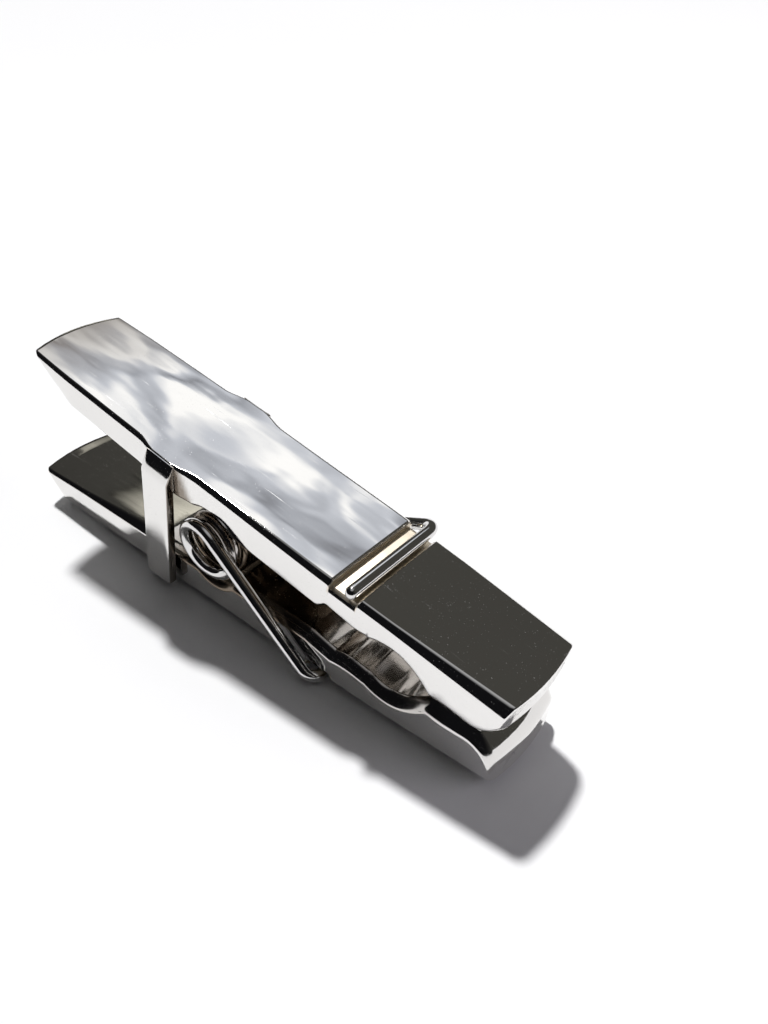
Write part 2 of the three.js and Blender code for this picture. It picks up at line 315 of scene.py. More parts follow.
def section(half, outer, inner, outer_edge, inner_edge):
    """Rings of (across, depth) for arrays of half widths, outer and inner depths and corner
    drops: the outer flat, then each corner, side and the inner flat in turn. Both flats
    swell by a parabola of their own width. Two masks are 1 on the corners, and 1 on the
    inner flat with its corners."""
    half, outer, inner = half[:, None], outer[:, None], inner[:, None]
    outer_edge, inner_edge = outer_edge[:, None], inner_edge[:, None]
    outer_reach, inner_reach = outer_edge * OUTER_REACH, inner_edge * INNER_REACH
    flat_out = (half - outer_reach) * FLAT
    flat_in = (half - inner_reach) * FLAT[::-1]
    out_y = half - outer_reach * (1 - corner_out)
    out_t = outer + outer_edge * (1 - corner_in)
    in_y = half - inner_reach * (1 - corner_out[::-1])
    in_t = inner - inner_edge * (1 - corner_in[::-1])
    side_t = outer + outer_edge + (inner - inner_edge - outer - outer_edge) * SIDE
    side_y = half + SIDE_CROWN * (1 - (2 * SIDE - 1) ** 2)
    across = [flat_out, out_y[:, 1:], side_y, in_y[:, :-1], flat_in]
    across += [-in_y[:, ::-1][:, 1:], -side_y[:, ::-1], -out_y[:, ::-1][:, :-1]]
    outer_t, inner_t = outer + 0 * flat_out, inner + 0 * flat_in
    depth = [outer_t, out_t[:, 1:], side_t, in_t[:, :-1], inner_t]
    depth += [in_t[:, ::-1][:, 1:], side_t[:, ::-1], out_t[:, ::-1][:, :-1]]
    swell = FACE_CROWN * (1 - FLAT**2)
    depth[0] = depth[0] - swell
    depth[4] = depth[4] + swell
    part = np.repeat(np.arange(len(across)), [piece.shape[1] for piece in across])
    corner = (part % 2 == 1).astype(float)
    within = ((part >= 3) & (part <= 5)).astype(float)
    return np.concatenate(across, 1), np.concatenate(depth, 1), corner, within


# %% Stations along a lever, with its notch and rounded ends
NOTCH_HALF, NOTCH_DEPTH, NOTCH_BREAK = 1.8, 0.9, 0.28
END_ROUND = 0.28
STATIONS = 190
end_turn = np.linspace(0, np.pi / 2, 6)


def lever_stations(tail, notch):
    """Places along the lever with the notch's depth and the end's inset at each one. The
    notch is two walls with broken edges; each end shrinks as a quarter circle."""
    wall = notch + np.array([-1, -1, -1, 1, 1, 1]) * NOTCH_HALF
    wall += np.array([-NOTCH_BREAK, 0, 0, 0, 0, NOTCH_BREAK])
    floor = np.array([0, NOTCH_BREAK, NOTCH_DEPTH, NOTCH_DEPTH, NOTCH_BREAK, 0])
    body = np.linspace(tail + END_ROUND, FRONT - END_ROUND, STATIONS)
    crease = [RECESS_FROM, RECESS_TO, HINGE_ALONG - COIL_SEAT, HINGE_ALONG + COIL_SEAT]
    body = np.sort(np.concatenate([body, crease]))
    body = body[np.abs(body - notch) > NOTCH_HALF + NOTCH_BREAK + 0.05]
    behind, ahead = body[body < notch], body[body > notch]
    tip_shift = END_ROUND * (1 - np.cos(end_turn[:-1]))
    tip_inset = END_ROUND * (1 - np.sin(end_turn[:-1]))
    along = [tail + tip_shift, behind, wall, ahead, (FRONT - tip_shift)[::-1]]
    cut = [0 * tip_shift, 0 * behind, floor, 0 * ahead, 0 * tip_shift]
    inset = [tip_inset, 0 * behind, 0 * wall, 0 * ahead, tip_inset[::-1]]
    return np.concatenate(along), np.concatenate(cut), np.concatenate(inset)


# %% How the loft's ends are crowned and its edges broken
END_REACH = 9.0
REAR_CROWN, FRONT_CROWN = 1.2, 0.7
OUTER_EDGE_AT = [0, 22, 25, 28, 31, 60, FRONT]
OUTER_EDGE = [0.42, 0.45, 0.22, 0.22, 0.5, 0.7, 1.15]  # small where the straps sit
INNER_EDGE_AT = [0, 8, 24, 60, 68, FRONT]
INNER_EDGE = [0.4, 0.5, 1.2, 1.1, 1.6, 0.9]
NOTCH_MASK_DEPTH = 1.2


def inside_shade(along):
    """How much painted shade, dark brown and rough, the inner faces take: fully round the
    coil, less in the money recess, and hardly any in the open handles."""
    round_coil = 0.12 + 0.88 * ease(along, 24, 30) * (1 - ease(along, 47, 53))
    return np.maximum(round_coil, 0.4 * ease(along, 50, 56) * (1 - ease(along, 66, 70)))


def shade_beside_strap(along, depth):
    """A patch of painted shade, a dark reflection made rough and dark brown, in front of a strap and wider with depth.
    """
    slanted = along[:, None] - 0.4 * depth
    return 0.9 * ease(along, 28.6, 29.0)[:, None] * (1 - ease(slanted, 28.9, 30.2))


# %% A lever


def lever(name, place, tail, notch, widths, lean_out, lean_in, faces_out, has_straps):
    """The loft itself. At the tail the end leans: points move forward in proportion to
    their depth, by lean_out at the outer face and lean_in at the inner one. Both ends are
    crowned: points move back by the square of how far they are from the middle."""
    along, cut, inset = lever_stations(tail, notch)
    half = smooth_width(along, widths) - inset
    inner = inner_depth(np.maximum(along, 0)) - inset
    outer_edge = np.interp(along, OUTER_EDGE_AT, OUTER_EDGE)
    inner_edge = np.interp(along, INNER_EDGE_AT, INNER_EDGE)
    across, depth, corner, within = section(half, inset + cut, inner, outer_edge, inner_edge)
    share = np.clip(depth / inner[:, None], 0, 1)
    fade = np.clip(1 - (along - tail) / END_REACH, 0, 1)[:, None]
    crown = (across / half[:, None]) ** 2
    rear = fade * (lean_out + (lean_in - lean_out) * share + REAR_CROWN * crown * fade)
    front = np.clip((along - FRONT) / END_REACH + 1, 0, 1)[:, None] ** 2 * FRONT_CROWN * crown
    grid = place(along[:, None] + rear - front, across, depth)
    in_notch = (np.abs(along - notch) < NOTCH_HALF + 0.01)[:, None] & (depth < NOTCH_MASK_DEPTH)
    # Painted shade, dark brown and rough, on the inner faces round the coil and in the money recess.
    painted_shade = within * inside_shade(along)[:, None]
    # Painted shade, a dark reflection, on the upper lever's sides just in front of the straps.
    if has_straps:
        below_bevel = (depth > outer_edge[:, None] * 0.9) & (corner + within < 2)
        patch = shade_beside_strap(along, depth) * below_bevel
        painted_shade = np.maximum(painted_shade, patch)
    masks = {
        "worn": np.tile(corner, len(along)),
        "painted_shade": painted_shade,
        "sawn": in_notch.astype(float),
    }
    faces = tube_faces(len(along), grid.shape[1], faces_out)
    return new_piece(name, closed_grid(grid), faces, masks)


# %% The two levers
upper_notch, lower_notch = 53.9, 51.3
upper_lever = lever(
    "upper_lever_polished", on_upper, tail=0.0, notch=upper_notch, widths=UPPER_WIDTH,
    lean_out=0, lean_in=6.5, faces_out=True, has_straps=True,
)
lower_lever = lever(
    "lower_lever_polished", on_lower, tail=LOWER_TAIL, notch=lower_notch, widths=LOWER_WIDTH,
    lean_out=3.8, lean_in=0, faces_out=False, has_straps=False,
)

# %% [markdown]
# ## The cheek straps
# Each strap is a short piece of flat bar, fixed to the upper lever's side. Its top is filed
# to a slope that meets the lever's edge, and it hangs past the lower lever, almost to the
# table. It could be a scaled cube with a bevel, but the slope and the slanted foot are easier
# in a rounded section carried down the strap, whose outer side slopes in near the top.

# %% A cheek strap
STRAP_FROM, STRAP_WIDE, STRAP_THICK, STRAP_INSIDE = 24.3, 4.5, 1.25, 7.4
SLOPE_TOP, SLOPE_DEEP = 0.08, 2.4
SLOPE_DEPTHS = np.array([0, 0.02, 0.5, 0.94, 1.0, 1.06])  # shares of the slope's height
SLOPE_THICKS = np.array([0.08, 0.11, 0.54, 0.955, 0.99, 1.0])  # shares of the thickness
RUN_FROM, RUN_STATIONS, TOE = 3.0, 30, 0.25
STRAP_AROUND = 56
ALONG_POWER, OUT_POWER = 0.22, 0.4


def strap_section(thick):
    """A rounded oblong, (along, out) for each thickness: a superellipse, whose cosine and
    sine are raised to small powers so that it is nearly a rectangle."""
    turn = np.linspace(0, 2 * np.pi, STRAP_AROUND, endpoint=False) + np.pi / STRAP_AROUND
    along = np.sign(np.cos(turn)) * np.abs(np.cos(turn)) ** ALONG_POWER
    out = np.sign(np.sin(turn)) * np.abs(np.sin(turn)) ** OUT_POWER
    every = np.ones_like(thick)[:, None]
    return STRAP_WIDE / 2 * along * every, thick[:, None] * (out + 1) / 2


def strap(name, side):
    """The strap on the side with that sign of Y. Its foot is cut nearly parallel to the
    table and stops a little over a millimetre above it, where the CAD's cheek reaches it.
    The rings shrink by a quarter circle at the toe."""
    deep = SLOPE_TOP + (SLOPE_DEEP - SLOPE_TOP) * SLOPE_DEPTHS
    thick = SLOPE_THICKS * STRAP_THICK
    foot = (hinge[2] - 0.05) / math.cos(lean) + face_to_hinge
    run = np.linspace(RUN_FROM, foot - 1.2, RUN_STATIONS)
    toe = foot - TOE * (1 - np.sin(end_turn))
    deep = np.concatenate([deep, run, toe])
    thick = np.concatenate([thick, np.full(len(run) + len(toe), STRAP_THICK)])
    whole = np.ones(len(deep) - len(toe))
    shrink = np.concatenate([whole, 1 - 0.12 * (1 - np.cos(end_turn))])
    along, out = strap_section(thick)
    along = along * shrink[:, None]
    out = out * shrink[:, None] + STRAP_THICK * (1 - shrink[:, None]) / 2
    middle = STRAP_FROM + STRAP_WIDE / 2
    slant = np.clip((deep - RUN_FROM) / foot, 0, 1)[:, None] * (along * -math.tan(lean))
    grid = on_upper(along + middle, side * (STRAP_INSIDE + out), deep[:, None] + slant)
    worn = np.clip(np.abs(along) / STRAP_WIDE * 2 - 0.9, 0, 0.1) * 10
    faces = tube_faces(grid.shape[0], grid.shape[1], side < 0)
    # Painted shade, dark brown and rough at three quarters strength, on the strap's two narrow ends.
    strap_end_shade = 0.75 * (np.abs(along) > 0.47 * STRAP_WIDE)
    masks = {"worn": worn, "painted_shade": strap_end_shade}
    return new_piece(name, closed_grid(grid), faces, masks, sharp=50)


near_strap = strap("cheek_strap_near", -1)
far_strap = strap("cheek_strap_far", 1)

# %% [markdown]
# ## The spring
# One length of round wire does everything: its coil is the hinge, its two legs reach forward
# and wrap over the levers, and their twist closes the jaws. A curve object with a bevel would
# do, but a swept grid keeps full control of the ends and of how the turns lie. The coil turns
# with both halves of the clip, so it is a piece of its own that bends between them.

# %% The wire and its path
WIRE, COIL, TURNS, BEND = 0.75, 3.6, 9, 1.7
LEG_SIDE = 8.0
BAR_LIFT = 0.15
BAR_END = 6.2
BAR_FORWARD = 0.7  # how far the upper bar lies ahead of its notch's middle
WIRE_AROUND, DOME_STEPS = 20, 5
WIRE_END = 0.02  # the radius of a dome's last ring
ANY_DIRECTION = [0.3, 0.5, 0.81]


def carry_without_twist(ahead, first):
    """A direction square to the path at each point: the last one less its part along."""
    kept = [first / np.linalg.norm(first)]
    for direction in ahead[1:]:
        side = kept[-1] - direction * np.dot(kept[-1], direction)
        kept.append(side / np.linalg.norm(side))
    return np.array(kept)


def wire_piece(name, path, shade_share=0.0):
    """A round tube along path (n, 3) in mm. Each ring stands square to the path, and starts
    at a direction that is carried along without twisting. The ends are domes: quarter
    circles of rings that shrink to a point. The last argument is how much painted shade,
    dark brown and rough, each point takes."""
    step = np.gradient(path, axis=0)
    ahead = step / np.linalg.norm(step, axis=1, keepdims=True)
    dome = np.linspace(0, np.pi / 2, DOME_STEPS + 1)[1:]
    reach = WIRE * np.sin(dome)[:, None]
    first = path[0] - ahead[0] * reach[::-1]
    last = path[-1] + ahead[-1] * reach
    points = np.concatenate([first, path, last])
    ahead = np.pad(ahead, ((DOME_STEPS, DOME_STEPS), (0, 0)), mode="edge")
    size = WIRE * np.concatenate([np.cos(dome)[::-1], np.ones(len(path)), np.cos(dome)])
    size = np.maximum(size, WIRE_END)
    sideways = carry_without_twist(ahead, np.cross(ahead[0], ANY_DIRECTION))
    upward = np.cross(ahead, sideways)
    turn = np.linspace(0, 2 * np.pi, WIRE_AROUND, endpoint=False)[:, None]
    ring = sideways[:, None] * np.cos(turn) + upward[:, None] * np.sin(turn)
    grid = points[:, None] + ring * size[:, None, None]
    shade_share = np.pad(shade_share + np.zeros(len(path)), DOME_STEPS)
    masks = {"painted_shade": np.repeat(shade_share, WIRE_AROUND)}
    faces = tube_faces(len(points), WIRE_AROUND)
    return new_piece(name, closed_grid(grid * MM), faces, masks, sharp=70)


# %% The legs' paths


def tangent_turn(bar, side):
    """The angle on the coil at which a straight leg leaves for the bar, above or below."""
    return math.atan2(bar[1], bar[0]) + side * math.acos(COIL / math.hypot(*bar))


def leg_path(bar, turn, start_y, side):
    """Straight from the coil to the bend, a quarter circle of radius BEND, and straight over
    the lever, starting at that turn on the coil. `side` is the way that the bar runs."""
    start = np.array([COIL * math.cos(turn), start_y, COIL * math.sin(turn)])
    corner = np.array([bar[0], start_y, bar[1]])
    run = (corner - start) / np.linalg.norm(corner - start)
    sideways = np.array([0, side, 0])
    bend_from = corner - run * BEND
    straight = start + (bend_from - start) * np.linspace(0, 1, 16)[:-1, None]
    arc = np.linspace(0, np.pi / 2, 14)[:, None]
    bend = bend_from + run * BEND * np.sin(arc) + sideways * BEND * (1 - np.cos(arc))
    over = np.array([corner[0], side * BAR_END, corner[2]])
    bar_run = bend[-1] + (over - bend[-1]) * np.linspace(0, 1, 16)[1:, None]
    return np.concatenate([straight, bend, bar_run]) + hinge


# %% The coil and its two legs
COIL_STEPS = 44  # points in one turn
# The pull of the coil leaves the upper bar towards the front of its notch.
lower_bar = (lower_notch - HINGE_ALONG, -face_to_hinge - BAR_LIFT)
flat_bar = (upper_notch + BAR_FORWARD - HINGE_ALONG, face_to_hinge + BAR_LIFT)
upper_bar = (
    flat_bar[0] * math.cos(lean) + flat_bar[1] * math.sin(lean),
    flat_bar[1] * math.cos(lean) - flat_bar[0] * math.sin(lean),
)
lower_turn, upper_turn = tangent_turn(lower_bar, 1), tangent_turn(upper_bar, -1)
sweep = TURNS * 2 * np.pi + upper_turn - lower_turn
turns = np.linspace(0, sweep, TURNS * COIL_STEPS)
coil_path = np.stack(
    [
        COIL * np.cos(lower_turn + turns),
        -LEG_SIDE + 2 * LEG_SIDE * turns / sweep,
        COIL * np.sin(lower_turn + turns),
    ],
    -1,
)
# Painted shade, dark brown and rough, on the coil's turns, fading out near each end.
coil_shade = ease(turns, 4, 8) * (1 - ease(turns, sweep - 8, sweep - 4))
spring_coil = wire_piece("spring_coil", coil_path + hinge, coil_shade)
lower_leg = wire_piece("spring_lower_leg", leg_path(lower_bar, lower_turn, -LEG_SIDE, 1))
upper_leg = wire_piece("spring_upper_leg_wire", leg_path(upper_bar, upper_turn, LEG_SIDE, -1))
print("wire in the coil", round(COIL * sweep), "mm")

# %% [markdown]
# ## The polish
# Mirror polish is never perfect. The buffing wheel leaves slow waves, which bend what the
# metal reflects, and very fine lines along its stroke; handling leaves hairline scratches,
# corners wear duller and paler, and dust settles. Each effect is a node group that puts out
# a mask or a height, so that all three metals share them with their own amounts.

# %% Node helpers


def add(tree, kind, **values):
    """A node of that kind, with its properties and numbered or named inputs set."""
    node = tree.nodes.new(kind)
    for key, value in values.items():
        if hasattr(node, key):
            setattr(node, key, value)
        else:
            node.inputs[key.replace("_", " ")].default_value = value
    return node


def group(name, inputs, outputs):
    """An empty node group with float inputs and outputs, and its two end nodes."""
    tree = bpy.data.node_groups.new(name, "ShaderNodeTree")
    for label, value in inputs.items():
        kind = "NodeSocketVector" if value is None else "NodeSocketFloat"
        made = tree.interface.new_socket(label, in_out="INPUT", socket_type=kind)
        if value is not None:
            made.default_value = value
    for label in outputs:
        tree.interface.new_socket(label, in_out="OUTPUT", socket_type="NodeSocketFloat")
    return tree, tree.nodes.new("NodeGroupInput"), tree.nodes.new("NodeGroupOutput")


def math_node(tree, operation, first, second, clamp=False):
    """A Math node whose two inputs are each a socket or a number."""
    node = tree.nodes.new("ShaderNodeMath")
    node.operation, node.use_clamp = operation, clamp
    for slot, value in zip(node.inputs, (first, second)):
        if isinstance(value, (int, float)):
            slot.default_value = value
        else:
            tree.links.new(value, slot)
    return node.outputs[0]


def noise(tree, place, scale, detail=2.0, stretch=(1, 1, 1), turn=(0, 0, 0)):
    """Noise of that scale, in cells to the metre, over a place stretched and turned."""
    mapping = tree.nodes.new("ShaderNodeMapping")
    mapping.inputs["Scale"].default_value = stretch
    mapping.inputs["Rotation"].default_value = turn
    tree.links.new(place, mapping.inputs["Vector"])
    node = tree.nodes.new("ShaderNodeTexNoise")
    node.inputs["Detail"].default_value = detail
    tree.links.new(mapping.outputs[0], node.inputs["Vector"])
    if isinstance(scale, (int, float)):
        node.inputs["Scale"].default_value = scale
    else:
        tree.links.new(scale, node.inputs["Scale"])
    return node.outputs["Fac"]


# %% Buffing waves: slow height changes, in metres
RIPPLE_SHARE = 0.22


def buffing_waves():
    """Two noises added: broad waves, and closer ripples about a fifth as high."""
    tree, start, end = group("buffing_waves", {"Place": None, "Height": 1e-5}, ["Height"])
    broad = noise(tree, start.outputs["Place"], 90, 1.0, (0.7, 1.4, 1))
    close = noise(tree, start.outputs["Place"], 260, 1.0, (0.5, 1.5, 1))
    ripples = math_node(tree, "MULTIPLY", close, RIPPLE_SHARE)
    total = math_node(tree, "ADD", broad, ripples)
    tree.links.new(math_node(tree, "MULTIPLY", total, start.outputs["Height"]), end.inputs[0])
    return tree


# %% Hairlines: buffing strokes along the piece and a few stray scratches
SCRATCH_TURNS = (0.6, -0.9)
SCRATCH_CUT, SCRATCH_GAIN = 0.69, 9


def hairlines():
    """Long thin noise for strokes; two turned copies, cut off high, for stray scratches."""
    tree, start, end = group("hairlines", {"Place": None}, ["Strokes", "Scratches"])
    strokes = noise(tree, start.outputs["Place"], 900, 2.0, (0.04, 3, 3))
    tree.links.new(strokes, end.inputs["Strokes"])
    scratch = 0.0
    for turn in SCRATCH_TURNS:
        lines = noise(tree, start.outputs["Place"], 700, 3.0, (0.03, 4, 1), (0, 0, turn))
        cut = math_node(tree, "SUBTRACT", lines, SCRATCH_CUT)
        line = math_node(tree, "MULTIPLY", cut, SCRATCH_GAIN, True)
        scratch = math_node(tree, "ADD", line, scratch)
    tree.links.new(scratch, end.inputs["Scratches"])
    return tree


# %% Dust: rare pale specks, and clouds of finer ones
SPECK_LIMIT, CLOUD_SHARE, SPECK_GAIN = 0.86, 0.13, 14


def dust():
    """Fine noise cut off high, thicker where a slow noise is high."""
    tree, start, end = group("dust", {"Place": None, "Amount": 1.0}, ["Specks"])
    fine = noise(tree, start.outputs["Place"], 7000, 0.0)
    slow = noise(tree, start.outputs["Place"], 120, 1.0)
    clouds = math_node(tree, "MULTIPLY", slow, CLOUD_SHARE)
    limit = math_node(tree, "SUBTRACT", SPECK_LIMIT, clouds)
    over = math_node(tree, "SUBTRACT", fine, limit)
    sharp = math_node(tree, "MULTIPLY", over, SPECK_GAIN, True)
    tree.links.new(math_node(tree, "MULTIPLY", sharp, start.outputs["Amount"]), end.inputs[0])
    return tree


# %% Edge wear: the corner mask, broken up
WEAR_FROM, WEAR_GAIN = 0.42, 4


def edge_wear():
    """The worn mask times a noise, so that the wear comes and goes along an edge."""
    tree, start, end = group("edge_wear", {"Place": None, "Mask": 0.0}, ["Wear"])
    patchy = noise(tree, start.outputs["Place"], 420, 3.0)
    above = math_node(tree, "SUBTRACT", patchy, WEAR_FROM)
    lifted = math_node(tree, "MULTIPLY", above, WEAR_GAIN, True)
    tree.links.new(math_node(tree, "MULTIPLY", lifted, start.outputs["Mask"]), end.inputs[0])
    return tree


groups = {made.name: made for made in (buffing_waves(), hairlines(), dust(), edge_wear())}
print("finish groups", sorted(groups))

# %% [markdown]
# ## The three metals
# Levers, straps and wire are plated alike but buffed differently: the levers are smoothest,
# and the wire keeps lines from drawing. Two painted masks add the rest: painted shade, dark
# brown and rougher, in the insides, on the coil and beside the straps, and the bare notch.
# One material with a texture for each piece could do it, but one function with different
# amounts keeps the metals related.

# %% Colours and roughness of the painted shade, the sawn notch and the dust
# Painted shade: a dark brown, with roughness added, where the shade mask is set.
PAINTED_SHADE_COLOUR, PAINTED_SHADE_ROUGH = (0.2, 0.16, 0.12), 0.16
SAWN_COLOUR, SAWN_ROUGH = (0.72, 0.64, 0.52), 0.34
DUST_COLOUR, DUST_ROUGH = (0.8, 0.79, 0.76), 0.5
SCRATCH_ROUGH, WEAR_ROUGH, SCRATCH_HEIGHT = 0.24, 0.07, -4e-7
STAIN_SHARE = 0.8


def mixed(tree, under, over, mask):
    """One colour over another by a mask. Each colour is a socket or three numbers."""
    node = add(tree, "ShaderNodeMix", data_type="RGBA")
    for label, colour in (("A", under), ("B", over)):
        if isinstance(colour, tuple):
            node.inputs[label].default_value = (*colour, 1)
        else:
            tree.links.new(colour, node.inputs[label])
    tree.links.new(mask, node.inputs["Factor"])
    return node.outputs["Result"]


def sum_of(tree, first, *amounts):
    """The first value, plus each pair's mask times its amount."""
    for mask, amount in amounts:
        first = math_node(tree, "ADD", first, math_node(tree, "MULTIPLY", mask, amount))
    return first


# %% The metals


def polished(name, bright, dull, rough, wave, specks):
    """Metal between two colours by slow staining, with all four finishing effects."""
    material = bpy.data.materials.new(name)
    material.use_nodes = True
    tree = material.node_tree
    shader = tree.nodes["Principled BSDF"]
    shader.inputs["Metallic"].default_value = 1.0
    place = tree.nodes.new("ShaderNodeTexCoord").outputs["Object"]
    used = {}
    for label, made in groups.items():
        used[label] = add(tree, "ShaderNodeGroup", node_tree=made)
        tree.links.new(place, used[label].inputs["Place"])
    used["buffing_waves"].inputs["Height"].default_value = wave
    used["dust"].inputs["Amount"].default_value = specks
    painted = {
        label: add(tree, "ShaderNodeAttribute", attribute_name=label).outputs["Fac"]
        for label in ("worn", "painted_shade", "sawn")
    }
    painted_shade, sawn = painted["painted_shade"], painted["sawn"]
    tree.links.new(painted["worn"], used["edge_wear"].inputs["Mask"])
    specks_seen = used["dust"].outputs["Specks"]
    scratches = used["hairlines"].outputs["Scratches"]

    stain = math_node(tree, "MULTIPLY", noise(tree, place, 70, 3.0), STAIN_SHARE)
    colour = mixed(tree, bright, dull, stain)
    # Painted shade, dark brown, laid over the metal's colour by its mask.
    colour = mixed(tree, colour, PAINTED_SHADE_COLOUR, painted_shade)
    colour = mixed(tree, colour, SAWN_COLOUR, sawn)
    colour = mixed(tree, colour, DUST_COLOUR, specks_seen)
    tree.links.new(colour, shader.inputs["Base Color"])
    metal = math_node(tree, "SUBTRACT", 1.0, specks_seen, True)
    tree.links.new(metal, shader.inputs["Metallic"])

    strokes = math_node(tree, "MULTIPLY", used["hairlines"].outputs["Strokes"], rough)
    wear = used["edge_wear"].outputs["Wear"]
    total = sum_of(tree, strokes, (scratches, SCRATCH_ROUGH), (wear, WEAR_ROUGH))
    on_top = ((specks_seen, DUST_ROUGH), (painted_shade, PAINTED_SHADE_ROUGH), (sawn, SAWN_ROUGH))
    tree.links.new(sum_of(tree, total, *on_top), shader.inputs["Roughness"])

    bump = add(tree, "ShaderNodeBump")
    bump.inputs["Strength"].default_value = 1.0
    bump.inputs["Distance"].default_value = 1.0
    waves = used["buffing_waves"].outputs["Height"]
    height = sum_of(tree, waves, (scratches, SCRATCH_HEIGHT))
    tree.links.new(height, bump.inputs["Height"])
    tree.links.new(bump.outputs[0], shader.inputs["Normal"])
    return material


lever_metal = polished("lever_mirror", (0.86, 0.85, 0.83), (0.76, 0.75, 0.73), 0.07, 9e-5, 0.25)
strap_metal = polished("strap_mirror", (0.85, 0.84, 0.82), (0.74, 0.73, 0.71), 0.12, 4e-5, 0.25)
wire_metal = polished("wire_bright", (0.78, 0.77, 0.76), (0.62, 0.61, 0.6), 0.16, 1e-5, 0.15)

# %% [markdown]
# ## Putting the pieces on the moving halves
# Everything fixed to a lever rides with it. The coil bends between the halves from one end to
# the other, as a real coil takes up its twist a little in every turn.

# %% Riding, replacing and slots
finish = {
    upper_lever: (lever_metal, "upper_half", "lever_metal", ["upper_lever"]),
    lower_lever: (lever_metal, "lower_half", "lever_metal", ["lower_lever"]),
    near_strap: (strap_metal, "upper_half", "cheek_metal", ["cheek_near"]),
    far_strap: (strap_metal, "upper_half", "cheek_metal", ["cheek_far"]),
    lower_leg: (wire_metal, "lower_half", "spring_wire", ["spring_coil_leg"]),
    upper_leg: (wire_metal, "upper_half", "spring_wire", ["spring_upper_leg"]),
    spring_coil: (wire_metal, None, "spring_wire", []),
}
for piece, (metal, body, slot, nodes) in finish.items():
    piece.data.materials.append(metal)
    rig.slot(piece, slot)
    if nodes:
        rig.replaces(piece, *nodes)
    if body:
        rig.ride(piece, body)
coil_end = Vector((hinge[0], LEG_SIDE, hinge[2])) * MM
coil_start = Vector((hinge[0], -LEG_SIDE, hinge[2])) * MM
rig.blend(spring_coil, "lower_half", "upper_half", start=coil_start, end=coil_end)

# %% [markdown]
# ## The table, the light and the camera
# Mirror metal shows the room, so the room is most of its look: a white table, one hard light
# high behind the clip for the crisp shadow, a dark ceiling that the level faces reflect, and a
# soft panel placed to show in the part of the top behind the crossbar.

# %% The camera
camera = bpy.data.objects.new("camera", bpy.data.cameras.new("camera"))
bpy.context.scene.collection.objects.link(camera)
bpy.context.scene.camera = camera
EYE = Vector((59.5, -52.2, 76.2)) * MM
HEADING, DOWN, TILT = math.radians(128.57), math.radians(38.82), math.radians(2.15)
camera.data.sensor_width = 36
camera.data.lens = 29.79
camera.data.clip_start = 0.005
level = math.cos(DOWN)
ahead = Vector((level * math.cos(HEADING), level * math.sin(HEADING), -math.sin(DOWN)))
right = Vector((math.sin(HEADING), -math.cos(HEADING), 0))
up = right.cross(ahead)
tilted_right = right * math.cos(TILT) + up * math.sin(TILT)
tilted_up = up * math.cos(TILT) - right * math.sin(TILT)
turned = Matrix((tilted_right, tilted_up, -ahead)).transposed().to_4x4()
camera.matrix_world = Matrix.Translation(EYE) @ turned
print("camera looks along", [round(part, 3) for part in ahead])

# %% [markdown]
# The table is a large plain sheet, nearly white. Two glowing sheets stand in for the pale
# things that the metal reflects. Each is placed by following a ray from the camera to the
# metal and back out, like a billiard ball off a cushion, so that it shows in that face.

# %% The table
TABLE_PALE = (0.93, 0.93, 0.935)


def plain_sheet(name, corners, colour, glows=False):
    """A four-cornered sheet that is part of the room, matt or glowing. A glowing one is
    black under its glow, so that no other light brightens it, and it casts no shadow."""
    mesh = bpy.data.meshes.new(name)
    mesh.from_pydata([tuple(corner) for corner in corners], [], [(0, 1, 2, 3)])
    sheet = bpy.data.objects.new(name, mesh)
    bpy.context.scene.collection.objects.link(sheet)
    material = bpy.data.materials.new(name)
    material.use_nodes = True
    node = material.node_tree.nodes["Principled BSDF"]
    node.inputs["Base Color"].default_value = (*colour, 1)
    node.inputs["Roughness"].default_value = 0.9
    if glows:
        node.inputs["Base Color"].default_value = (0, 0, 0, 1)
        node.inputs["Specular IOR Level"].default_value = 0
        node.inputs["Emission Color"].default_value = (*colour, 1)
        node.inputs["Emission Strength"].default_value = 1.0
        sheet.visible_shadow = False
    mesh.materials.append(material)
    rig.stage(sheet)
    return sheet


FAR = 4  # metres from the middle of the table to its edges
plain_sheet("table", [(-FAR, -FAR, 0), (FAR, -FAR, 0), (FAR, FAR, 0), (-FAR, FAR, 0)], TABLE_PALE)

# %% Following a ray from the camera off the metal
PANEL_FAR = 0.5  # metres from the metal to a glowing sheet


def mirrored_from(point, normal):
    """Where a ray from the camera ends, PANEL_FAR past a point that turns it back: the ray
    less twice its part along the face's normal."""
    incoming = (point - EYE).normalized()
    return point + (incoming - 2 * incoming.dot(normal) * normal) * PANEL_FAR


def seen_in_top(along, across):
    """Where the camera looks by way of the top face."""
    point = Vector(on_upper(np.array(along), np.array(across), np.array(0.0)))
    return mirrored_from(point, Vector((math.sin(lean), 0, math.cos(lean))))


def seen_in_tail(along, across):
    """Where the camera looks by way of the lower handle's inner face."""
    depth = inner_depth(np.array(float(along)))
    point = Vector(on_lower(np.array(float(along)), np.array(float(across)), depth))
    return mirrored_from(point, Vector((-HANDLE_SWELL / HANDLE_LENGTH, 0, 1)).normalized())


def glowing_sheet(name, corners, colour):
    """A glowing sheet, its node tree, and its place as a UV map that runs 0 to 1 along the
    first edge and then the second."""
    sheet = plain_sheet(name, corners, colour, glows=True)
    sheet.data.uv_layers.new(name="over_sheet").data.foreach_set("uv", [0, 0, 1, 0, 1, 1, 0, 1])
    tree = sheet.data.materials[0].node_tree
    return tree, add(tree, "ShaderNodeUVMap", uv_map="over_sheet").outputs["UV"]


def second_edge(tree, place):
    """How far a place lies along the second edge, 0 to 1."""
    parted = add(tree, "ShaderNodeSeparateXYZ")
    tree.links.new(place, parted.inputs[0])
    return parted.outputs["Y"]


